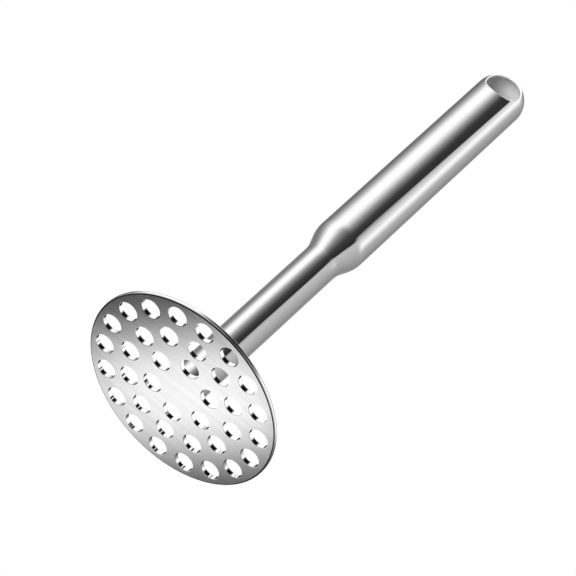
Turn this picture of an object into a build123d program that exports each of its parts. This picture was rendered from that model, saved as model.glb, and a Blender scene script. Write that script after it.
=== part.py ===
from build123d import *
import math
import os

# Stainless potato masher, standing on its mashing plate.
# The origin is the centre of the plate's underside, +Z runs up the handle, the mouth faces -Y.

# Mashing plate: a pressed disc with three rings of punched holes.
plate_diameter = 85.0
plate_thickness = 2.0
plate_edge_round = 0.7
hole_diameter = 8.3
hole_edge_break = 0.15
first_ring_share = 0.3176
ring_pitch_share = 0.2612
holes_in_first_ring = 6
ring_count = 3

# Handle: one tube, swaged down to the stem and spun shut at its far end.
overall_length = 233.0
stem_diameter = 15.9
grip_diameter = 22.2
tube_wall = 1.0
shoulder_height = 98.5
shoulder_blend_radius = 18.0
shoulder_half_angle = 18.5
mouth_diameter = 15.4

# Weld between the stem's foot and the plate's upper face.
weld_leg = 1.1
weld_throat_share = 0.45

# Sizes that follow from the ones above.
plate_radius = plate_diameter / 2
first_ring_radius = plate_radius * first_ring_share
ring_pitch = plate_radius * ring_pitch_share
stem_radius = stem_diameter / 2
grip_radius = grip_diameter / 2
stem_bore = stem_radius - tube_wall
grip_bore = grip_radius - tube_wall
dome_centre = overall_length - grip_radius
bend = math.radians(shoulder_half_angle)
blend_rise = shoulder_blend_radius * math.sin(bend)
blend_swell = shoulder_blend_radius * (1 - math.cos(bend))
cone_swell = grip_radius - stem_radius - 2 * blend_swell
cone_rise = cone_swell / math.tan(bend)
shoulder_low = shoulder_height - blend_rise - cone_rise / 2
shoulder_high = shoulder_height + blend_rise + cone_rise / 2
mouth_direction = -90.0


# Half of the tube's section on one face of its wall, from the foot up to the dome's top.
def wall_line(inset):
    low_radius = shoulder_blend_radius + inset
    high_radius = shoulder_blend_radius - inset
    low_centre = stem_radius + shoulder_blend_radius
    high_centre = grip_radius - shoulder_blend_radius
    dome_radius = grip_radius - inset

    def low(turn):
        return (low_centre - low_radius * math.cos(turn), shoulder_low + low_radius * math.sin(turn))

    def high(turn):
        return (high_centre + high_radius * math.cos(turn), shoulder_high - high_radius * math.sin(turn))

    def dome(turn):
        return (dome_radius * math.cos(turn), dome_centre + dome_radius * math.sin(turn))

    half_turn = math.pi / 4
    return [
        Line((stem_radius - inset, plate_thickness), low(0)),
        ThreePointArc(low(0), low(bend / 2), low(bend)),
        Line(low(bend), high(bend)),
        ThreePointArc(high(bend), high(bend / 2), high(0)),
        Line(high(0), dome(0)),
        ThreePointArc(dome(0), dome(half_turn), dome(2 * half_turn)),
    ]


def turned(lines):
    upright = Plane.XZ * make_face(Wire(lines))
    return revolve(upright, Axis.Z)


# The plate's blank with both edges rolled over, then every ring of holes punched through it.
blank = Cylinder(plate_radius, plate_thickness, align=(Align.CENTER, Align.CENTER, Align.MIN))
rims = blank.edges().filter_by(GeomType.CIRCLE)
plate = fillet(rims, plate_edge_round)
punch = Cylinder(hole_diameter / 2, 4 * plate_thickness)
punches = []
for ring in range(ring_count):
    hole_count = holes_in_first_ring * (ring + 1)
    ring_radius = first_ring_radius + ring * ring_pitch
    for place in PolarLocations(ring_radius, hole_count, start_angle=mouth_direction):
        punches.append(place * punch)
plate = plate - punches
face_heights = (0, plate_thickness)
hole_edges = [
    edge
    for edge in plate.edges().filter_by(GeomType.CIRCLE)
    if abs(edge.radius - hole_diameter / 2) < hole_edge_break
    and min(abs(edge.center().Z - height) for height in face_heights) < hole_edge_break
]
plate = chamfer(hole_edges, hole_edge_break)

# The tube as one turned wall, closed at the foot and where both dome lines meet the axis.
outer_line = wall_line(0)
inner_line = wall_line(tube_wall)
foot = Line((stem_bore, plate_thickness), (stem_radius, plate_thickness))
crown = Line((0, overall_length - tube_wall), (0, overall_length))
tube = turned(outer_line + [crown] + inner_line + [foot])

# The hanging mouth, drilled square to the axis through one side where the dome begins.
drill = Cylinder(mouth_diameter / 2, 2 * grip_radius, align=(Align.CENTER, Align.CENTER, Align.MIN))
mouth_place = Location((0, 0, dome_centre), (90, 0, 0))
tube = tube - mouth_place * drill

# The weld as a ring with a slightly hollow face, on the plate and against the stem.
toe = (stem_radius + weld_leg, plate_thickness)
crest = (stem_radius, plate_thickness + weld_leg)
throat = weld_leg * weld_throat_share
belly = (stem_radius + throat, plate_thickness + throat)
root = (stem_radius, plate_thickness)
weld = turned([Line(root, toe), ThreePointArc(toe, belly, crest), Line(crest, root)])

os.makedirs("parts", exist_ok=True)
export_step(plate, "parts/mashing_plate.step")
export_step(tube, "parts/handle_tube.step")
export_step(weld, "parts/weld_bead.step")
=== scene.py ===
import math

import bmesh
import bpy
import numpy as np
from mathutils import Matrix, Vector


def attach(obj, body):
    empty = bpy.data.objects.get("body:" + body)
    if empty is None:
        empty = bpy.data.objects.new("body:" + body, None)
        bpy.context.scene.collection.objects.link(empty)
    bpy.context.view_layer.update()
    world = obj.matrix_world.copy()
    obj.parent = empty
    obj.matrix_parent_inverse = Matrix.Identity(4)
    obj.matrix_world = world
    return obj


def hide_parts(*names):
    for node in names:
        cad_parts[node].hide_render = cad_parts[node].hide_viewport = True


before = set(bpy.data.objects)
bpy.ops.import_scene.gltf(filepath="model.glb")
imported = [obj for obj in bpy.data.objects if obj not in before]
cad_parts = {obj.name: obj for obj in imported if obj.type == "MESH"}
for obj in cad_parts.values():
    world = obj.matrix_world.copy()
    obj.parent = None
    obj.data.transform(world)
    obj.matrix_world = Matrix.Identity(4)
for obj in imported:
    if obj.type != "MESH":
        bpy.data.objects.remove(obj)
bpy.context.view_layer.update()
scene = bpy.context.scene
scene.view_settings.view_transform = "Standard"


# ---- Mashing plate ----
# A 2 mm stainless sheet disc, blanked and punched with 36 round holes in three
# rings. Its rim is rolled over, its holes are deburred, and both faces are
# brushed in one straight direction on a belt.
MM = 0.001
PLATE_RADIUS = 42.5 * MM
PLATE_THICKNESS = 2.0 * MM
RIM_ROUND = 0.7 * MM
HOLE_RADIUS = 4.15 * MM
HOLE_EDGE = 0.15 * MM
FIRST_RING = 13.5 * MM
RING_PITCH = 11.1 * MM
FIRST_RING_HOLES = 6
RINGS = 3
RIM_STEPS = 360
HOLE_STEPS = 64
ROUND_STEPS = 8
SHOULDER = 0.12 * MM
WALL_GUARD = 0.02 * MM
CLOSE_DISTANCE = 0.002 * MM


def linear(hex_colour):
    channels = [int(hex_colour[i:i + 2], 16) / 255 for i in (1, 3, 5)]
    values = [c / 12.92 if c <= 0.04045 else ((c + 0.055) / 1.055) ** 2.4 for c in channels]
    return (*values, 1.0)


def add_node(tree, kind, inputs=(), **settings):
    """Adds a node and returns its outputs. Inputs are values or sockets, by name or number."""
    made = tree.nodes.new(kind)
    for name, value in settings.items():
        setattr(made, name, value)
    for key, value in dict(inputs).items():
        if isinstance(value, bpy.types.NodeSocket):
            tree.links.new(value, made.inputs[key])
        else:
            made.inputs[key].default_value = value
    return made.outputs


def calculate(tree, operation, *values):
    return add_node(tree, "ShaderNodeMath", enumerate(values), operation=operation)[0]


def blend_colours(tree, factor, first, second):
    """The mix node keeps its two colours in inputs 6 and 7, and their blend in output 2."""
    return add_node(tree, "ShaderNodeMix", {0: factor, 6: first, 7: second}, data_type="RGBA")[2]


def finish_material(name):
    material = bpy.data.materials.new(name)
    material.use_nodes = True
    material.node_tree.nodes.clear()
    return material, material.node_tree


def geometry_tree(name, inputs):
    tree = bpy.data.node_groups.new(name, "GeometryNodeTree")
    tree.interface.new_socket("Geometry", in_out="OUTPUT", socket_type="NodeSocketGeometry")
    tree.interface.new_socket("Geometry", in_out="INPUT", socket_type="NodeSocketGeometry")
    for label, kind in inputs.items():
        tree.interface.new_socket(label, in_out="INPUT", socket_type="NodeSocket" + kind)
    return tree, add_node(tree, "NodeGroupInput")


def join(tree, *parts):
    joined = add_node(tree, "GeometryNodeJoinGeometry")[0]
    for part in parts:
        tree.links.new(part, joined.node.inputs[0])
    return joined


def face_outwards(shape):
    bmesh.ops.recalc_face_normals(shape, faces=shape.faces)
    if shape.calc_volume(signed=True) < 0:
        bmesh.ops.reverse_faces(shape, faces=shape.faces)


def grow(name, source, tree, values):
    """Runs a geometry tree on a source mesh, and returns the result as a plain mesh object."""
    piece = bpy.data.objects.new(name, source)
    scene.collection.objects.link(piece)
    modifier = piece.modifiers.new("grow", "NODES")
    modifier.node_group = tree
    sockets = {s.name: s.identifier for s in tree.interface.items_tree if s.in_out == "INPUT"}
    for label, value in values.items():
        modifier[sockets[label]] = value
    grown = bpy.data.meshes.new_from_object(piece.evaluated_get(bpy.context.evaluated_depsgraph_get()))
    piece.modifiers.clear()
    piece.data = grown
    grown.name = name
    slots = list(grown.materials)
    finishes = [finish for finish in slots if finish]
    numbers = [finishes.index(slots[polygon.material_index]) for polygon in grown.polygons]
    grown.materials.clear()
    for finish in finishes:
        grown.materials.append(finish)
    grown.polygons.foreach_set("material_index", numbers)
    shape = bmesh.new()
    shape.from_mesh(grown)
    face_outwards(shape)
    shape.to_mesh(grown)
    shape.free()
    return piece


# Turns a section once round the Z axis: a grid of its points, one row for each
# step, whose seam and poles are then closed.
turning, given = geometry_tree("turned_section", {"Steps": "Int"})
count = add_node(turning, "GeometryNodeAttributeDomainSize", {0: given["Geometry"]})["Point Count"]
rows = calculate(turning, "ADD", given["Steps"], 1)
grid = add_node(turning, "GeometryNodeMeshGrid", {"Vertices X": rows, "Vertices Y": count})["Mesh"]
index = add_node(turning, "GeometryNodeInputIndex")[0]
row = calculate(turning, "FLOOR", calculate(turning, "DIVIDE", index, count))
along = calculate(turning, "SUBTRACT", index, calculate(turning, "MULTIPLY", row, count))
position = add_node(turning, "GeometryNodeInputPosition")[0]
point = add_node(turning, "GeometryNodeSampleIndex",
                 {"Geometry": given["Geometry"], "Value": position, "Index": along},
                 data_type="FLOAT_VECTOR")[0]
radius, _, height = add_node(turning, "ShaderNodeSeparateXYZ", {0: point})
angle = calculate(turning, "DIVIDE", calculate(turning, "MULTIPLY", row, math.tau), given["Steps"])
x = calculate(turning, "MULTIPLY", radius, calculate(turning, "COSINE", angle))
y = calculate(turning, "MULTIPLY", radius, calculate(turning, "SINE", angle))
place = add_node(turning, "ShaderNodeCombineXYZ", {"X": x, "Y": y, "Z": height})[0]
turned = add_node(turning, "GeometryNodeSetPosition", {"Geometry": grid, "Position": place})[0]
turned = add_node(turning, "GeometryNodeMergeByDistance", {"Geometry": turned, "Distance": CLOSE_DISTANCE})[0]
turned = add_node(turning, "GeometryNodeSetShadeSmooth", {0: turned, "Shade Smooth": True})[0]
add_node(turning, "NodeGroupOutput", {"Geometry": turned})


def edge_section(radius, outward, rounding):
    """A sheet edge from the lower face to the upper one, with a narrow flat shoulder on each face."""
    section = [(radius - outward * (rounding + SHOULDER), 0.0)]
    for base, centre in ((-90.0, rounding), (0.0, PLATE_THICKNESS - rounding)):
        for step in range(ROUND_STEPS + 1):
            lean = math.radians(base + 90.0 * step / ROUND_STEPS)
            section.append((radius - outward * rounding * (1 - math.cos(lean)),
                            centre + rounding * math.sin(lean)))
        if base < 0:
            section += [(radius, rounding + WALL_GUARD), (radius, PLATE_THICKNESS - rounding - WALL_GUARD)]
    section.append((radius - outward * (rounding + SHOULDER), PLATE_THICKNESS))
    return section


# Linear belt-brushed stainless sheet: the eye sees fine straight lines along X
# and a soft reflection drawn out across them. Real grit lines are about 0.05 mm
# apart, and are drawn 0.36 mm apart so that they show.
GRAIN_PITCH = 0.36 * MM
GRAIN_LENGTH = 16.0 * MM
BLOTCH_PITCH = 3.0 * MM
BLOTCH_LENGTH = 40.0 * MM
NOISE_SPAN = {"From Min": 0.3, "From Max": 0.7}

brushed, tree = finish_material("belt_brushed_stainless_sheet")
place = add_node(tree, "ShaderNodeTexCoord")["Object"]
fine = add_node(tree, "ShaderNodeMapping",
                {0: place, "Scale": (1 / GRAIN_LENGTH, 1 / GRAIN_PITCH, 1 / GRAIN_LENGTH)})[0]
grain = add_node(tree, "ShaderNodeTexNoise",
                 {"Vector": fine, "Scale": 1.0, "Detail": 3.0, "Roughness": 0.6})[0]
wide = add_node(tree, "ShaderNodeMapping",
                {0: place, "Scale": (1 / BLOTCH_LENGTH, 1 / BLOTCH_PITCH, 1 / GRAIN_LENGTH)})[0]
wide = add_node(tree, "ShaderNodeTexNoise", {"Vector": wide, "Scale": 1.0, "Detail": 2.0})[0]
mixed = calculate(tree, "MULTIPLY_ADD", wide, 0.4, calculate(tree, "MULTIPLY", grain, 0.6))
tint = add_node(tree, "ShaderNodeMapRange", {"Value": mixed, **NOISE_SPAN})[0]
tint = blend_colours(tree, tint, linear("#d2d2d2"), linear("#efefef"))
rough = add_node(tree, "ShaderNodeMapRange",
                 {"Value": grain, **NOISE_SPAN, "To Min": 0.15, "To Max": 0.23})[0]
bump = add_node(tree, "ShaderNodeBump", {"Height": grain, "Strength": 0.12, "Distance": 0.02 * MM})[0]
steel = add_node(tree, "ShaderNodeBsdfPrincipled",
                 {"Base Color": tint, "Metallic": 1.0, "Roughness": rough, "Normal": bump})
add_node(tree, "ShaderNodeOutputMaterial", {"Surface": steel[0]})

# Rolled and deburred edges, tumbled smooth: shinier than the faces.
tumbled, tree = finish_material("tumbled_stainless_edge")
place = add_node(tree, "ShaderNodeTexCoord")["Object"]
haze = add_node(tree, "ShaderNodeTexNoise", {"Vector": place, "Scale": 1 / (3.0 * MM), "Detail": 2.0})[0]
rough = add_node(tree, "ShaderNodeMapRange", {"Value": haze, "To Min": 0.04, "To Max": 0.08})[0]
steel = add_node(tree, "ShaderNodeBsdfPrincipled",
                 {"Base Color": linear("#ececec"), "Metallic": 1.0, "Roughness": rough})
add_node(tree, "ShaderNodeOutputMaterial", {"Surface": steel[0]})

# The rings of hole centres are worked out from a running number; each hole's
# edge is one turned section, and the two faces fill what is left between them.
tree, given = geometry_tree("perforated_plate", {
    "First ring": "Float", "Ring pitch": "Float", "First ring holes": "Int", "Rings": "Int",
    "Thickness": "Float", "Hole steps": "Int", "Rim steps": "Int",
    "Face finish": "Material", "Edge finish": "Material"})
part = add_node(tree, "GeometryNodeInputNamedAttribute", {"Name": "hole_edge"}, data_type="BOOLEAN")[0]
hole_line, rim_line = add_node(tree, "GeometryNodeSeparateGeometry",
                               {0: given["Geometry"], "Selection": part})[:2]
total = calculate(tree, "MULTIPLY", given["Rings"], calculate(tree, "ADD", given["Rings"], 1))
total = calculate(tree, "MULTIPLY", calculate(tree, "MULTIPLY", total, given["First ring holes"]), 0.5)
index = add_node(tree, "GeometryNodeInputIndex")[0]
inside = calculate(tree, "DIVIDE", calculate(tree, "MULTIPLY_ADD", index, 8.0, 4.0),
                   given["First ring holes"])
ring = calculate(tree, "SUBTRACT", calculate(tree, "SQRT", calculate(tree, "ADD", inside, 1)), 1)
ring = calculate(tree, "FLOOR", calculate(tree, "MULTIPLY", ring, 0.5))
in_ring = calculate(tree, "MULTIPLY", given["First ring holes"], calculate(tree, "ADD", ring, 1))
before = calculate(tree, "MULTIPLY", calculate(tree, "MULTIPLY", in_ring, ring), 0.5)
share = calculate(tree, "DIVIDE", calculate(tree, "SUBTRACT", index, before), in_ring)
angle = calculate(tree, "MULTIPLY_ADD", share, math.tau, -math.pi / 2)
reach = calculate(tree, "MULTIPLY_ADD", ring, given["Ring pitch"], given["First ring"])
x = calculate(tree, "MULTIPLY", reach, calculate(tree, "COSINE", angle))
y = calculate(tree, "MULTIPLY", reach, calculate(tree, "SINE", angle))
centre = add_node(tree, "ShaderNodeCombineXYZ", {"X": x, "Y": y})[0]
centres = add_node(tree, "GeometryNodePoints", {"Count": total, "Position": centre})[0]
position = add_node(tree, "GeometryNodeInputPosition")[0]
shown = []
outlines = []
for line, steps in ((rim_line, "Rim steps"), (hole_line, "Hole steps")):
    edge = add_node(tree, "GeometryNodeGroup", {"Geometry": line, "Steps": given[steps]},
                    node_tree=turning)[0]
    first = add_node(tree, "GeometryNodeSampleIndex", {"Geometry": line, "Value": position, "Index": 0},
                     data_type="FLOAT_VECTOR")[0]
    first = add_node(tree, "ShaderNodeSeparateXYZ", {0: first})["X"]
    outline = add_node(tree, "GeometryNodeCurvePrimitiveCircle",
                       {"Resolution": given[steps], "Radius": first})["Curve"]
    if line == hole_line:
        edge = add_node(tree, "GeometryNodeInstanceOnPoints", {"Points": centres, "Instance": edge})[0]
        outline = add_node(tree, "GeometryNodeInstanceOnPoints", {"Points": centres, "Instance": outline})[0]
    shown.append(edge)
    outlines.append(outline)
outlines = add_node(tree, "GeometryNodeRealizeInstances", {0: join(tree, *outlines)})[0]
face = add_node(tree, "GeometryNodeFillCurve", {"Curve": outlines})[0]
face = add_node(tree, "GeometryNodeSetShadeSmooth", {0: face, "Shade Smooth": False})[0]
lift = add_node(tree, "ShaderNodeCombineXYZ", {"Z": given["Thickness"]})[0]
upper = add_node(tree, "GeometryNodeTransform", {0: face, "Translation": lift})[0]
lower = add_node(tree, "GeometryNodeFlipFaces", {0: face})[0]
whole = add_node(tree, "GeometryNodeRealizeInstances", {0: join(tree, upper, lower, *shown)})[0]
whole = add_node(tree, "GeometryNodeMergeByDistance", {"Geometry": whole, "Distance": CLOSE_DISTANCE})[0]
whole = add_node(tree, "GeometryNodeSetMaterial", {0: whole, "Material": given["Face finish"]})[0]
rounded = add_node(tree, "GeometryNodeInputShadeSmooth")[0]
whole = add_node(tree, "GeometryNodeSetMaterial",
                 {0: whole, "Selection": rounded, "Material": given["Edge finish"]})[0]
add_node(tree, "NodeGroupOutput", {"Geometry": whole})

rim_section = edge_section(PLATE_RADIUS, 1, RIM_ROUND)
hole_section = edge_section(HOLE_RADIUS, -1, HOLE_EDGE)
sections = bpy.data.meshes.new("plate_sections")
sections.from_pydata([(radius, 0.0, height) for radius, height in rim_section + hole_section], [], [])
marks = sections.attributes.new("hole_edge", "BOOLEAN", "POINT")
marks.data.foreach_set("value", [False] * len(rim_section) + [True] * len(hole_section))
plate = grow("perforated_plate", sections, tree, {
    "First ring": FIRST_RING, "Ring pitch": RING_PITCH, "First ring holes": FIRST_RING_HOLES, "Rings": RINGS,
    "Thickness": PLATE_THICKNESS, "Hole steps": HOLE_STEPS, "Rim steps": RIM_STEPS,
    "Face finish": brushed, "Edge finish": tumbled})
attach(plate, "root")
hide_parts("mashing_plate")


# ---- Weld bead ----
# The stem stands on the plate and is fused to it all round from above. The
# bead is a small fillet with close ripples, left dull when it was brushed off.
WELD_LEG = 1.1 * MM
WELD_HOLLOW = 0.05 * MM
STEM_RADIUS = 7.95 * MM
WELD_STEPS = 288
WELD_POINTS = 8
RIPPLES = 44.0
RIPPLE_DEPTH = 0.05 * MM
RIPPLE_ROOT = 0.02 * MM

dull, tree = finish_material("dressed_stainless_weld")
place = add_node(tree, "ShaderNodeTexCoord")["Object"]
spots = add_node(tree, "ShaderNodeTexNoise", {"Vector": place, "Scale": 1 / (1.2 * MM), "Detail": 4.0})[0]
tint = blend_colours(tree, spots, linear("#9a938a"), linear("#d6d2cc"))
rough = add_node(tree, "ShaderNodeMapRange", {"Value": spots, "To Min": 0.28, "To Max": 0.5})[0]
bump = add_node(tree, "ShaderNodeBump", {"Height": spots, "Strength": 0.3, "Distance": 0.05 * MM})[0]
steel = add_node(tree, "ShaderNodeBsdfPrincipled",
                 {"Base Color": tint, "Metallic": 1.0, "Roughness": rough, "Normal": bump})
add_node(tree, "ShaderNodeOutputMaterial", {"Surface": steel[0]})

# Each ripple draws the bead's face in towards the stem by up to the depth.
tree, given = geometry_tree("rippled_bead", {
    "Steps": "Int", "Ripples": "Float", "Depth": "Float", "Stem radius": "Float", "Root": "Float",
    "Finish": "Material"})
ring = add_node(tree, "GeometryNodeGroup", {"Geometry": given["Geometry"], "Steps": given["Steps"]},
                node_tree=turning)[0]
x, y, z = add_node(tree, "ShaderNodeSeparateXYZ", {0: add_node(tree, "GeometryNodeInputPosition")[0]})
reach = calculate(tree, "SQRT", calculate(tree, "MULTIPLY_ADD", x, x, calculate(tree, "MULTIPLY", y, y)))
wave = calculate(tree, "SINE",
                 calculate(tree, "MULTIPLY", calculate(tree, "ARCTAN2", y, x), given["Ripples"]))
depth = calculate(tree, "MULTIPLY", calculate(tree, "MULTIPLY_ADD", wave, 0.5, -0.5), given["Depth"])
free = calculate(tree, "GREATER_THAN", calculate(tree, "SUBTRACT", reach, given["Stem radius"]),
                 given["Root"])
draw = calculate(tree, "MULTIPLY_ADD", calculate(tree, "DIVIDE", depth, reach), free, 1.0)
place = add_node(tree, "ShaderNodeCombineXYZ", {
    "X": calculate(tree, "MULTIPLY", x, draw), "Y": calculate(tree, "MULTIPLY", y, draw), "Z": z})[0]
ring = add_node(tree, "GeometryNodeSetPosition", {"Geometry": ring, "Position": place})[0]
ring = add_node(tree, "GeometryNodeRealizeInstances", {0: ring})[0]
ring = add_node(tree, "GeometryNodeSetMaterial", {0: ring, "Material": given["Finish"]})[0]
add_node(tree, "NodeGroupOutput", {"Geometry": ring})

bead_points = [(STEM_RADIUS, PLATE_THICKNESS)]
for step in range(WELD_POINTS + 1):
    share = step / WELD_POINTS
    hollow = WELD_HOLLOW * 4 * share * (1 - share)
    bead_points.append((STEM_RADIUS + WELD_LEG * (1 - share) - hollow,
                        PLATE_THICKNESS + WELD_LEG * share - hollow))
bead_points.append(bead_points[0])
bead_section = bpy.data.meshes.new("bead_section")
bead_section.from_pydata([(radius, 0.0, height) for radius, height in bead_points], [], [])
bead = grow("rippled_weld_bead", bead_section, tree, {
    "Steps": WELD_STEPS, "Ripples": RIPPLES, "Depth": RIPPLE_DEPTH, "Stem radius": STEM_RADIUS,
    "Root": RIPPLE_ROOT, "Finish": dull})
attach(bead, "root")
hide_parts("weld_bead")


# ---- Handle tube ----
# One length of 22.2 mm stainless tube with a 1 mm wall: its lower half is drawn
# down to a 15.9 mm stem, its top is spun shut into a dome, and a round mouth is
# drilled into the side of the dome's root. It is polished all over.
LENGTH = 233.0 * MM
GRIP_RADIUS = 11.1 * MM
WALL = 1.0 * MM
NECK_HEIGHT = 98.5 * MM
NECK_BLEND = 18.0 * MM
NECK_ANGLE = math.radians(18.5)
DOME_HEIGHT = LENGTH - GRIP_RADIUS
MOUTH_RADIUS = 7.7 * MM
LIP_ROUND = 0.26 * MM
LIP_STEPS = 6
MOUTH_CUT = 8.8 * MM
MOUTH_OUTER_RING = 8.45 * MM
MOUTH_INNER_RING = 8.1 * MM
TURN_STEPS = 192
ARC_STEPS = 18
STRAIGHT_ROW = 12.0 * MM
FINE_ROW = 0.33 * MM
FINE_FROM = 212.0 * MM

swell = GRIP_RADIUS - STEM_RADIUS - 2 * NECK_BLEND * (1 - math.cos(NECK_ANGLE))
half_neck = NECK_BLEND * math.sin(NECK_ANGLE) + swell / math.tan(NECK_ANGLE) / 2
neck_low = NECK_HEIGHT - half_neck
neck_high = NECK_HEIGHT + half_neck


def straight_rows(start, end, spacing):
    count = math.ceil((end - start) / spacing)
    return [start + (end - start) * i / count for i in range(1, count)]


def wall_points(inset):
    """One face of the tube's wall, from the foot on the plate up to the dome's top."""
    stem, grip = STEM_RADIUS - inset, GRIP_RADIUS - inset
    low_blend, high_blend = NECK_BLEND + inset, NECK_BLEND - inset
    low_centre, high_centre = STEM_RADIUS + NECK_BLEND, GRIP_RADIUS - NECK_BLEND
    turns = [NECK_ANGLE * i / ARC_STEPS for i in range(ARC_STEPS + 1)]
    points = [(stem, PLATE_THICKNESS)]
    points += [(stem, z) for z in straight_rows(PLATE_THICKNESS, neck_low, STRAIGHT_ROW)]
    points += [(low_centre - low_blend * math.cos(turn), neck_low + low_blend * math.sin(turn))
               for turn in turns]
    points += [(high_centre + high_blend * math.cos(turn), neck_high - high_blend * math.sin(turn))
               for turn in turns[::-1]]
    points += [(grip, z) for z in straight_rows(neck_high, FINE_FROM, STRAIGHT_ROW)]
    points += [(grip, FINE_FROM)] + [(grip, z) for z in straight_rows(FINE_FROM, DOME_HEIGHT, FINE_ROW)]
    steps = math.ceil(GRIP_RADIUS * math.pi / 2 / FINE_ROW)
    turns = [math.pi / 2 * i / steps for i in range(steps + 1)]
    points += [(grip * math.cos(turn), DOME_HEIGHT + grip * math.sin(turn)) for turn in turns]
    return points


# Polished stainless tube: mirror-like, with a faint haze and very fine lines
# round the tube from the polishing wheel, drawn 0.6 mm apart so that they show.
POLISH_PITCH = 0.6 * MM
POLISH_LENGTH = 9.0 * MM
HAZE_SIZE = 14.0 * MM

polished, tree = finish_material("polished_stainless_tube")
place = add_node(tree, "ShaderNodeTexCoord")["Object"]
lines = add_node(tree, "ShaderNodeMapping",
                 {0: place, "Scale": (1 / POLISH_LENGTH, 1 / POLISH_LENGTH, 1 / POLISH_PITCH)})[0]
lines = add_node(tree, "ShaderNodeTexNoise", {"Vector": lines, "Scale": 1.0, "Detail": 3.0})[0]
haze = add_node(tree, "ShaderNodeTexNoise", {"Vector": place, "Scale": 1 / HAZE_SIZE, "Detail": 3.0})[0]
mixed = calculate(tree, "MULTIPLY_ADD", lines, 0.5, calculate(tree, "MULTIPLY", haze, 0.5))
rough = add_node(tree, "ShaderNodeMapRange",
                 {"Value": mixed, **NOISE_SPAN, "To Min": 0.04, "To Max": 0.08})[0]
tint = blend_colours(tree, mixed, linear("#e2e2e2"), linear("#ebebeb"))
bump = add_node(tree, "ShaderNodeBump", {"Height": lines, "Strength": 0.04, "Distance": 0.01 * MM})[0]
steel = add_node(tree, "ShaderNodeBsdfPrincipled",
                 {"Base Color": tint, "Metallic": 1.0, "Roughness": rough, "Normal": bump})
add_node(tree, "ShaderNodeOutputMaterial", {"Surface": steel[0]})

# The bore keeps the dull grey skin of drawn and annealed tube.
bore, tree = finish_material("annealed_tube_bore")
place = add_node(tree, "ShaderNodeTexCoord")["Object"]
skin = add_node(tree, "ShaderNodeTexNoise", {"Vector": place, "Scale": 1 / (2.5 * MM), "Detail": 4.0})[0]
tint = blend_colours(tree, skin, linear("#c2c2c2"), linear("#d2d2d2"))
rough = add_node(tree, "ShaderNodeMapRange", {"Value": skin, "To Min": 0.42, "To Max": 0.58})[0]
steel = add_node(tree, "ShaderNodeBsdfPrincipled", {"Base Color": tint, "Metallic": 0.35, "Roughness": rough})
add_node(tree, "ShaderNodeOutputMaterial", {"Surface": steel[0]})

# The mouth's edge is deburred with a wheel, which leaves it satin and bright.
deburred, tree = finish_material("deburred_mouth_edge")
place = add_node(tree, "ShaderNodeTexCoord")["Object"]
skin = add_node(tree, "ShaderNodeTexNoise", {"Vector": place, "Scale": 1 / (0.8 * MM), "Detail": 2.0})[0]
rough = add_node(tree, "ShaderNodeMapRange", {"Value": skin, "To Min": 0.3, "To Max": 0.42})[0]
steel = add_node(tree, "ShaderNodeBsdfPrincipled",
                 {"Base Color": linear("#e6e6e6"), "Metallic": 0.4, "Roughness": rough})
add_node(tree, "ShaderNodeOutputMaterial", {"Surface": steel[0]})

tree, given = geometry_tree("turned_tube", {"Steps": "Int", "Finish": "Material"})
tube = add_node(tree, "GeometryNodeGroup", {"Geometry": given["Geometry"], "Steps": given["Steps"]},
                node_tree=turning)[0]
tube = add_node(tree, "GeometryNodeRealizeInstances", {0: tube})[0]
tube = add_node(tree, "GeometryNodeSetMaterial", {0: tube, "Material": given["Finish"]})[0]
add_node(tree, "NodeGroupOutput", {"Geometry": tube})

tube_points = wall_points(WALL)[::-1] + wall_points(0.0)
tube_section = bpy.data.meshes.new("tube_section")
tube_section.from_pydata([(radius, 0.0, height) for radius, height in tube_points], [], [])
tube = grow("polished_handle_tube", tube_section, tree, {"Steps": TURN_STEPS, "Finish": polished})


def face_depth(rho, phi, face_radius):
    """Y of the tube's front on a face of that radius, at polar place rho, phi about the mouth's centre."""
    side, rise = rho * math.cos(phi), rho * math.sin(phi)
    return -math.sqrt(face_radius ** 2 - side ** 2 - max(rise, 0.0) ** 2)


def face_normal(place, outward):
    rise = max(place.z - DOME_HEIGHT, 0.0)
    return Vector((place.x, place.y, rise)).normalized() * outward


def mouth_place(rho, phi, depth):
    return Vector((rho * math.cos(phi), depth, DOME_HEIGHT + rho * math.sin(phi)))


def lip(phi, face_radius, outward):
    """The lip where the drilled wall meets one face: points with normals, from the face to the wall."""
    rho = MOUTH_RADIUS + LIP_ROUND
    depth = face_depth(rho, phi, face_radius)
    slope = (face_depth(rho + LIP_ROUND / 10, phi, face_radius) - depth) / (LIP_ROUND / 10)
    middle = depth + outward * LIP_ROUND * math.hypot(1.0, slope)
    start = math.atan2(-outward, outward * slope)
    end = -outward * math.pi
    wall_normal = -mouth_place(1.0, phi, 0.0) + Vector((0, 0, DOME_HEIGHT))
    points = []
    for step in range(LIP_STEPS + 1):
        share = step / LIP_STEPS
        turn = start + (end - start) * share
        place = mouth_place(rho + LIP_ROUND * math.cos(turn), phi, middle + LIP_ROUND * math.sin(turn))
        points.append((place, face_normal(place, outward).slerp(wall_normal, share)))
    return points


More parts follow.
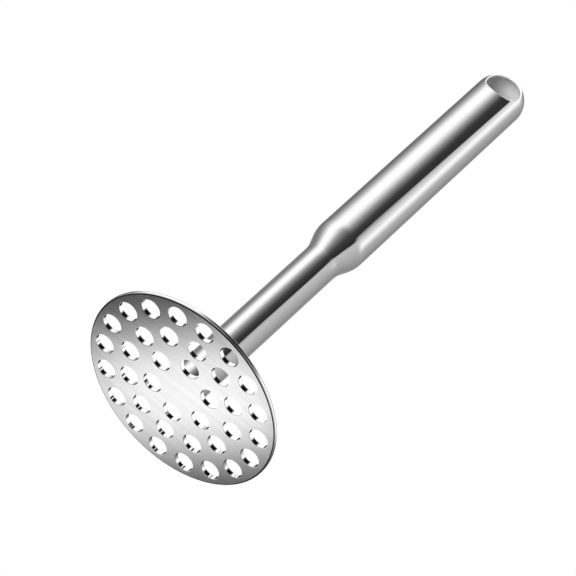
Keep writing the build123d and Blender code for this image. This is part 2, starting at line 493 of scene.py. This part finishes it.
# The mouth is cut by hand: the turned rows inside it go, their edge is drawn in
# to a true circle, and a rounded lip is laid from the outer face to the inner.
shape = bmesh.new()
shape.from_mesh(tube.data)
found = {1: {}, -1: {}}
for vertex in shape.verts:
    if vertex.co.y < 0 and vertex.co.z > FINE_FROM:
        rise = vertex.co.z - DOME_HEIGHT
        spread = math.hypot(vertex.co.x, vertex.co.y, max(rise, 0.0))
        across = vertex.co.x / spread * GRIP_RADIUS
        rise = rise / spread * GRIP_RADIUS if rise > 0 else rise
        outward = 1 if spread > GRIP_RADIUS - WALL / 2 else -1
        found[outward][vertex] = (math.hypot(across, rise), math.atan2(rise, across))
gone = [vertex for places in found.values() for vertex, (rho, phi) in places.items() if rho < MOUTH_CUT]
bmesh.ops.delete(shape, geom=gone, context="VERTS")
rings = {}
for outward, places in found.items():
    left = [(place[1], vertex) for vertex, place in places.items() if vertex.is_valid and vertex.is_boundary]
    rings[outward] = sorted(left, key=lambda item: item[0])
columns = []
lip_normals = {}
for (phi, outer), (_, inner) in zip(rings[1], rings[-1]):
    outer.co = mouth_place(MOUTH_OUTER_RING, phi, face_depth(MOUTH_OUTER_RING, phi, GRIP_RADIUS))
    inner.co = mouth_place(MOUTH_INNER_RING, phi, face_depth(MOUTH_INNER_RING, phi, GRIP_RADIUS - WALL))
    column = [outer]
    for place, normal in lip(phi, GRIP_RADIUS, 1) + lip(phi, GRIP_RADIUS - WALL, -1)[::-1]:
        column.append(shape.verts.new(place))
        lip_normals[column[-1]] = normal
    columns.append(column + [inner])
lip_faces = set()
for left, right in zip(columns, columns[1:] + columns[:1]):
    strip = [shape.faces.new(corners) for corners in zip(left, right, right[1:], left[1:])]
    lip_faces.update(strip[1:-1])
    for face in strip:
        face.smooth = True
middle_line = np.array(wall_points(WALL / 2))
for face in shape.faces:
    middle = face.calc_center_median()
    mid_wall = np.interp(middle.z, middle_line[:, 1], middle_line[:, 0])
    inside = math.hypot(middle.x, middle.y) < mid_wall
    face.material_index = 2 if face in lip_faces else int(inside)
face_outwards(shape)
shape.verts.index_update()
lip_normals = {vertex.index: tuple(normal) for vertex, normal in lip_normals.items()}
shape.to_mesh(tube.data)
shape.free()
tube.data.materials.append(bore)
tube.data.materials.append(deburred)

# Every face of the wall gets its exact normals, so that the reflections run on
# unbroken through the neck and past the mouth.
places = np.array([vertex.co for vertex in tube.data.vertices])
reach = np.hypot(places[:, 0], places[:, 1])
inner = reach < np.interp(places[:, 2], middle_line[:, 1], middle_line[:, 0])
inset = np.where(inner, WALL, 0.0)
lean = np.minimum(np.clip((places[:, 2] - neck_low) / (NECK_BLEND + inset), 0, 1),
                  np.clip((neck_high - places[:, 2]) / (NECK_BLEND - inset), 0, 1))
lean = np.minimum(np.arcsin(lean), NECK_ANGLE)
normals = places.copy()
normals[:, 2] = np.maximum(places[:, 2] - DOME_HEIGHT, 0.0) - np.tan(lean) * reach
normals *= (np.where(inner, -1.0, 1.0) / np.linalg.norm(normals, axis=1))[:, None]
for index, normal in lip_normals.items():
    normals[index] = normal
tube.data.normals_split_custom_set_from_vertices(normals.tolist())
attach(tube, "root")
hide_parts("handle_tube")


# ---- Camera ----
# It looks up at the plate's underside from below, and is turned so that the
# handle runs to the upper right of the picture and away from the eye.
PICTURE_SIDE = 576
FOCAL_PIXELS = 3107.4
SENSOR_WIDTH = 36.0
CLIP_SPAN = (0.05, 50.0)
EYE = (247.4 * MM, -894.8 * MM, -685.5 * MM)
LOOK = Vector((-0.20763, 0.74686, 0.63174)).normalized()
RIGHT = Vector((0.77474, -0.26873, 0.57233)).normalized()

camera_data = bpy.data.cameras.new("camera")
camera_data.sensor_width = SENSOR_WIDTH
camera_data.lens = FOCAL_PIXELS / PICTURE_SIDE * SENSOR_WIDTH
camera_data.clip_start, camera_data.clip_end = CLIP_SPAN
camera = bpy.data.objects.new("camera", camera_data)
up = RIGHT.cross(LOOK)
camera.matrix_world = Matrix.Translation(EYE) @ Matrix((RIGHT, up, -LOOK)).transposed().to_4x4()
scene.collection.objects.link(camera)
scene.camera = camera


# ---- Studio ----
# A white backdrop and pale floor, and round the masher a cloth light tent with
# soft grey and black flags, which is what polished steel shows in its face.
BACKDROP_FILL = 0.62
FLOOR_DROP = 0.3 * MM
FLOOR_HALF = 6.0
FLOOR_FADE = (0.5, 1.6)


def grey_ramp(tree, factor, stops):
    """Greys by angle, in degrees from the side that faces the camera; tones are sRGB, 0 to 255."""
    ramp = add_node(tree, "ShaderNodeValToRGB", {"Fac": factor})["Color"]
    elements = ramp.node.color_ramp.elements
    while len(elements) < len(stops):
        elements.new(0.5)
    for element, (angle, tone) in zip(elements, stops):
        element.position = (angle + 180) / 360
        element.color = linear("#%02x%02x%02x" % (tone, tone, tone))
    return ramp


def soft_step(tree, value, low, high):
    return add_node(tree, "ShaderNodeMapRange", {"Value": value, "From Min": low, "From Max": high},
                    interpolation_type="SMOOTHSTEP")[0]


def stage_piece(name, material, build, *sizes):
    mesh = bpy.data.meshes.new(name)
    shape = bmesh.new()
    build(shape, *sizes)
    shape.to_mesh(mesh)
    shape.free()
    mesh.materials.append(material)
    thing = bpy.data.objects.new(name, mesh)
    scene.collection.objects.link(thing)
    return thing


def flat_card(shape, half, x, y, z):
    sides = ((-1, -1), (1, -1), (1, 1), (-1, 1))
    corners = [(x + along * half, y + across * half, z) for along, across in sides]
    shape.faces.new([shape.verts.new(corner) for corner in corners])


world = bpy.data.worlds.new("white_backdrop")
scene.world = world
world.use_nodes = True
tree = world.node_tree
tree.nodes.clear()
path = add_node(tree, "ShaderNodeLightPath")
seen = calculate(tree, "MAXIMUM", path["Is Camera Ray"],
                 calculate(tree, "MAXIMUM", path["Is Glossy Ray"], path["Is Transmission Ray"]))
fill = add_node(tree, "ShaderNodeMapRange", {"Value": seen, "To Min": BACKDROP_FILL, "To Max": 1.0})[0]
backdrop = add_node(tree, "ShaderNodeBackground", {"Color": (1, 1, 1, 1), "Strength": fill})
add_node(tree, "ShaderNodeOutputWorld", {"Surface": backdrop[0]})

# The floor runs out into the white backdrop, and only its upper side shows, so
# that the eye below it sees the plate.
paper, tree = finish_material("pale_floor_paper")
place = add_node(tree, "ShaderNodeTexCoord")["Object"]
reach = add_node(tree, "ShaderNodeVectorMath", {0: place}, operation="LENGTH")["Value"]
far = soft_step(tree, reach, *FLOOR_FADE)
matt = add_node(tree, "ShaderNodeBsdfPrincipled", {"Base Color": linear("#f1f0ee"), "Roughness": 0.9})[0]
white = add_node(tree, "ShaderNodeEmission", {"Color": (1, 1, 1, 1), "Strength": 1.0})[0]
clear = add_node(tree, "ShaderNodeBsdfTransparent")[0]
above = add_node(tree, "ShaderNodeMixShader", {"Fac": far, 1: matt, 2: white})[0]
under = add_node(tree, "ShaderNodeNewGeometry")["Backfacing"]
surface = add_node(tree, "ShaderNodeMixShader", {"Fac": under, 1: above, 2: clear})[0]
add_node(tree, "ShaderNodeOutputMaterial", {"Surface": surface})
floor = stage_piece("floor", paper, flat_card, FLOOR_HALF, 0.0, 0.0, -FLOOR_DROP)
floor.visible_glossy = False
floor.visible_shadow = False

# The light on the tube stands in upright bands round the handle's axis. Angles
# turn from the side that faces the camera, and each pair of ramps meets at an edge.
TENT_FRONT = math.radians(-74.5)
TENT_GAIN = 1.25
EDGE_SOFTNESS = 2.0
STEM_LEFT = ((-180, 150), (-127, 115), (-106, 150), (-90, 210), (-78, 255), (-58, 255), (-47, 220),
             (-35, 160), (-23, 120), (-11, 85), (0, 60), (17, 45), (45, 40))
STEM_RIGHT = ((-60, 150), (20, 150), (41, 190), (128, 135), (180, 150))
GRIP_LEFT = ((-180, 140), (-143, 105), (-131, 115), (-120, 140), (-109, 165), (-99, 195), (-83, 245),
             (-76, 255), (-54, 255), (-46, 240), (-23, 150), (-11, 105), (0, 65), (11, 50), (45, 45))
GRIP_RIGHT = ((-60, 140), (20, 140), (29, 150), (35, 185), (54, 230), (60, 250), (66, 250), (89, 175),
              (128, 140), (152, 130), (180, 150))


def upright_place(tree):
    """A sheet's own place round the axis: the angle in degrees and the height."""
    place = add_node(tree, "ShaderNodeTexCoord")["Object"]
    x, y, z = add_node(tree, "ShaderNodeSeparateXYZ", {0: place})
    angle = calculate(tree, "SUBTRACT", calculate(tree, "ARCTAN2", y, x), TENT_FRONT)
    return calculate(tree, "DEGREES", calculate(tree, "WRAP", angle, math.pi, -math.pi)), z


def angle_ramp(tree, angle, stops):
    share = add_node(tree, "ShaderNodeMapRange", {"Value": angle, "From Min": -180.0, "From Max": 180.0})[0]
    return grey_ramp(tree, share, stops)


def paired_ramps(tree, angle, height, left, right, edge_sweep):
    """Two ramps that meet at an edge, which moves from the first angle to the last between two heights."""
    low, high, first, last = edge_sweep
    edge = add_node(tree, "ShaderNodeMapRange",
                    {"Value": height, "From Min": low, "From Max": high, "To Min": first, "To Max": last})[0]
    past = soft_step(tree, calculate(tree, "SUBTRACT", angle, edge), -EDGE_SOFTNESS, EDGE_SOFTNESS)
    return blend_colours(tree, past, angle_ramp(tree, angle, left), angle_ramp(tree, angle, right))


def hide_from_all_but_glossy(thing):
    thing.visible_camera = False
    thing.visible_diffuse = False
    thing.visible_shadow = False
    thing.visible_transmission = False


# The tent itself lights, one above another, the plate's rim and the walls of the
# punched holes, with a black flag for the dark line where the rim rounds over.
TENT_RADIUS = 0.7
HOLE_TONES = ((-180, 10), (-130, 22), (-118, 190), (-108, 255), (-46, 255), (-36, 130), (-27, 14),
              (27, 14), (36, 130), (46, 255), (108, 255), (118, 190), (130, 22), (180, 10))
RIM_TONES = ((-180, 40), (-150, 60), (-125, 140), (-105, 200), (-85, 225), (-50, 230), (-30, 165),
             (0, 70), (60, 185), (106, 150), (140, 70), (180, 40))
HOLE_ZONE = (0.450, 0.4545)
RIM_ZONE = (0.4155, 0.4180)
RIM_CURVE = 0.0203
FLAG_HEIGHT = -0.45
FLAG_RISE_ANGLE = 144.0
FLAG_TOP = 0.2
FLAG_EDGE = (0.02, 0.15)
FLAG_TONE = "#101010"

cloth, tree = finish_material("light_tent_cloth")
cloth.cycles.emission_sampling = "NONE"
angle, z = upright_place(tree)
rim = angle_ramp(tree, angle, RIM_TONES)
bands = blend_colours(tree, soft_step(tree, z, *HOLE_ZONE), angle_ramp(tree, angle, HOLE_TONES), rim)
half = calculate(tree, "COSINE", calculate(tree, "MULTIPLY", angle, math.radians(0.5)))
above_rim = soft_step(tree, calculate(tree, "MULTIPLY_ADD", half, RIM_CURVE, z), *RIM_ZONE)
bands = blend_colours(tree, above_rim, rim, bands)
turned_share = calculate(tree, "DIVIDE", angle, FLAG_RISE_ANGLE)
flag = calculate(tree, "MULTIPLY", calculate(tree, "MULTIPLY", turned_share, turned_share), -FLAG_HEIGHT)
flag = calculate(tree, "MINIMUM", calculate(tree, "ADD", flag, FLAG_HEIGHT), FLAG_TOP)
above_flag = soft_step(tree, calculate(tree, "SUBTRACT", z, flag), *FLAG_EDGE)
bands = blend_colours(tree, above_flag, linear(FLAG_TONE), bands)
light = add_node(tree, "ShaderNodeEmission", {"Color": bands, "Strength": TENT_GAIN})
add_node(tree, "ShaderNodeOutputMaterial", {"Surface": light[0]})


def tent_shape(shape, radius):
    bmesh.ops.create_icosphere(shape, subdivisions=5, radius=radius)


hide_from_all_but_glossy(stage_piece("light_tent", cloth, tent_shape, TENT_RADIUS))

# Two sleeves with the same bands stand closer: one right round the stem, and
# one round the rest of the tube. The holes look out between them. The stem's
# sleeve has tones of its own on its back and its outside, and fades upwards
# into the wide one, which a floor closes from below.
STEM_SLEEVE_RADIUS = 9.5 * MM
STEM_SLEEVE_SPAN = (3.4 * MM, 83.0 * MM)
STEM_SLEEVE_SWEEP = (42.0 * MM, 78.0 * MM, 26.0, 31.0)
STEM_SLEEVE_OFFSET = 79.0
STEM_SLEEVE_OUTSIDE = ((-180, 10), (-155, 14), (-115, 255), (115, 255), (155, 14), (180, 10))
STEM_SLEEVE_BACK = ((-180, 150), (-153, 115), (-143, 150), (-135, 210), (-129, 255), (-118, 200),
                    (0, 150), (118, 190), (129, 170), (154, 135), (180, 150))
STEM_SLEEVE_BACK_FROM = (116.0, 126.0)
STEM_SLEEVE_FADE = (68.0 * MM, 83.0 * MM)
SLEEVE_RADIUS = 40.0 * MM
SLEEVE_SPAN = (62.0 * MM, 420.0 * MM)
SLEEVE_FADE = (62.0 * MM, 65.0 * MM)
SLEEVE_STEM_SWEEP = (68.0 * MM, 104.0 * MM, 26.0, 31.0)
SLEEVE_GRIP_SWEEP = (143.0 * MM, 243.0 * MM, 24.5, 39.0)
SLEEVE_GRIP_FROM = (112.0 * MM, 128.0 * MM)
SLEEVE_OFFSETS = (11.7, 16.5)
SLEEVE_FLOOR_INNER = 9.8 * MM
SLEEVE_FLOOR_HEIGHT = 66.0 * MM
SLEEVE_STEPS = 256


def round_strip(shape, first, second):
    """A strip once round the axis between two rings, each given as its radius and height."""
    turns = [math.tau * step / SLEEVE_STEPS for step in range(SLEEVE_STEPS)]
    rows = [[shape.verts.new((radius * math.cos(turn), radius * math.sin(turn), z)) for turn in turns]
            for radius, z in (first, second)]
    for step in range(SLEEVE_STEPS):
        shape.faces.new((rows[0][step - 1], rows[0][step], rows[1][step], rows[1][step - 1]))


def sleeve_angle(tree, angle, offset):
    """The way in which light leaves the tube for a place on a sleeve. So close to the tube the two differ."""
    half = calculate(tree, "SINE", calculate(tree, "MULTIPLY", angle, math.radians(0.5)))
    return calculate(tree, "MULTIPLY_ADD", half, offset, angle)


stem_cloth, tree = finish_material("stem_sleeve_cloth")
stem_cloth.cycles.emission_sampling = "NONE"
place_angle, z = upright_place(tree)
angle = sleeve_angle(tree, place_angle, STEM_SLEEVE_OFFSET)
bands = paired_ramps(tree, angle, z, STEM_LEFT, STEM_RIGHT, STEM_SLEEVE_SWEEP)
behind = soft_step(tree, calculate(tree, "ABSOLUTE", place_angle), *STEM_SLEEVE_BACK_FROM)
bands = blend_colours(tree, behind, bands, angle_ramp(tree, place_angle, STEM_SLEEVE_BACK))
inner_side = add_node(tree, "ShaderNodeNewGeometry")["Backfacing"]
bands = blend_colours(tree, inner_side, angle_ramp(tree, place_angle, STEM_SLEEVE_OUTSIDE), bands)
light = add_node(tree, "ShaderNodeEmission", {"Color": bands, "Strength": TENT_GAIN})[0]
clear = add_node(tree, "ShaderNodeBsdfTransparent")[0]
surface = add_node(tree, "ShaderNodeMixShader",
                   {"Fac": soft_step(tree, z, *STEM_SLEEVE_FADE), 1: light, 2: clear})[0]
add_node(tree, "ShaderNodeOutputMaterial", {"Surface": surface})
rings = [(STEM_SLEEVE_RADIUS, z) for z in STEM_SLEEVE_SPAN]
hide_from_all_but_glossy(stage_piece("stem_sleeve", stem_cloth, round_strip, *rings))

sleeve_cloth, tree = finish_material("light_sleeve_cloth")
sleeve_cloth.cycles.emission_sampling = "NONE"
place_angle, z = upright_place(tree)
offset = add_node(tree, "ShaderNodeMapRange", {
    "Value": z, "From Min": SLEEVE_GRIP_FROM[0], "From Max": SLEEVE_GRIP_FROM[1],
    "To Min": SLEEVE_OFFSETS[0], "To Max": SLEEVE_OFFSETS[1]})[0]
angle = sleeve_angle(tree, place_angle, offset)
stem_bands = paired_ramps(tree, angle, z, STEM_LEFT, STEM_RIGHT, SLEEVE_STEM_SWEEP)
grip_bands = paired_ramps(tree, angle, z, GRIP_LEFT, GRIP_RIGHT, SLEEVE_GRIP_SWEEP)
bands = blend_colours(tree, soft_step(tree, z, *SLEEVE_GRIP_FROM), stem_bands, grip_bands)
light = add_node(tree, "ShaderNodeEmission", {"Color": bands, "Strength": TENT_GAIN})[0]
clear = add_node(tree, "ShaderNodeBsdfTransparent")[0]
surface = add_node(tree, "ShaderNodeMixShader",
                   {"Fac": soft_step(tree, z, *SLEEVE_FADE), 1: clear, 2: light})[0]
add_node(tree, "ShaderNodeOutputMaterial", {"Surface": surface})
rings = [(SLEEVE_RADIUS, z) for z in SLEEVE_SPAN]
hide_from_all_but_glossy(stage_piece("light_sleeve", sleeve_cloth, round_strip, *rings))
floor_rings = (SLEEVE_FLOOR_INNER, SLEEVE_FLOOR_HEIGHT), (SLEEVE_RADIUS, SLEEVE_FLOOR_HEIGHT)
hide_from_all_but_glossy(stage_piece("sleeve_floor", sleeve_cloth, round_strip, *floor_rings))

# A card below the plate, bright along one diagonal, lights the underside.
CARD_DEPTH = 60.0 * MM
CARD_HALF = 160.0 * MM
CARD_CENTRE = (-12.6 * MM, 72.9 * MM)
CARD_LINE = math.radians(134.0)
CARD_BRIGHT = 7.0 * MM
CARD_DIM = 46.0 * MM
CARD_DIM_TONE = "#4e4e4e"
CARD_GAIN = 1.3
CARD_FADE = (66.0 * MM, 92.0 * MM)
CARD_SHIFT = (-8.0 * MM, -2.2 * MM)
CARD_EDGE = (30.0 * MM, 47.0 * MM)
CARD_EDGE_LOSS = 0.3

card_face, tree = finish_material("underside_card")
card_face.cycles.emission_sampling = "NONE"
place = add_node(tree, "ShaderNodeTexCoord")["Object"]
place = add_node(tree, "ShaderNodeVectorMath", {0: place, 1: (*CARD_CENTRE, -CARD_DEPTH)},
                 operation="SUBTRACT")[0]
x, y, _ = add_node(tree, "ShaderNodeSeparateXYZ", {0: place})
off = calculate(tree, "MULTIPLY_ADD", y, math.cos(CARD_LINE),
                calculate(tree, "MULTIPLY", x, -math.sin(CARD_LINE)))
bright = soft_step(tree, calculate(tree, "ABSOLUTE", off), CARD_DIM, CARD_BRIGHT)
reach = add_node(tree, "ShaderNodeVectorMath", {0: place}, operation="LENGTH")["Value"]
outer = add_node(tree, "ShaderNodeVectorMath", {0: place, 1: (*CARD_SHIFT, 0)}, operation="SUBTRACT")[0]
outer = add_node(tree, "ShaderNodeVectorMath", {0: outer}, operation="LENGTH")["Value"]
loss = calculate(tree, "MULTIPLY_ADD", soft_step(tree, outer, *CARD_EDGE), -CARD_EDGE_LOSS, 1.0)
tone = blend_colours(tree, calculate(tree, "MULTIPLY", bright, loss), linear(CARD_DIM_TONE), (1, 1, 1, 1))
light = add_node(tree, "ShaderNodeEmission", {"Color": tone, "Strength": CARD_GAIN})[0]
out = soft_step(tree, reach, *CARD_FADE)
clear = add_node(tree, "ShaderNodeBsdfTransparent")[0]
surface = add_node(tree, "ShaderNodeMixShader", {"Fac": out, 1: light, 2: clear})[0]
add_node(tree, "ShaderNodeOutputMaterial", {"Surface": surface})
card = stage_piece("underside_card", card_face, flat_card, CARD_HALF, *CARD_CENTRE, -CARD_DEPTH)
hide_from_all_but_glossy(card)

# One large soft lamp overhead gives the masher its shadow on the floor, and a
# small one below the camera's side looks into the mouth.
OVERHEAD_PLACE = Vector((-0.5, -0.4, 1.5))
MOUTH_FILL_PLACE = Vector((-0.12, -0.3, -0.013))


def soft_lamp(name, place, aim, watts, side):
    lamp_data = bpy.data.lights.new(name, "AREA")
    lamp_data.energy = watts
    lamp_data.size = side
    lamp = bpy.data.objects.new(name, lamp_data)
    turn = (aim - place).to_track_quat("-Z", "Y").to_matrix().to_4x4()
    lamp.matrix_world = Matrix.Translation(place) @ turn
    lamp.visible_camera = False
    lamp.visible_glossy = False
    scene.collection.objects.link(lamp)


soft_lamp("overhead_softbox", OVERHEAD_PLACE, Vector((0, 0, 0)), watts=10.0, side=0.9)
soft_lamp("mouth_fill", MOUTH_FILL_PLACE, Vector((0, 0, DOME_HEIGHT)), watts=3.0, side=0.22)
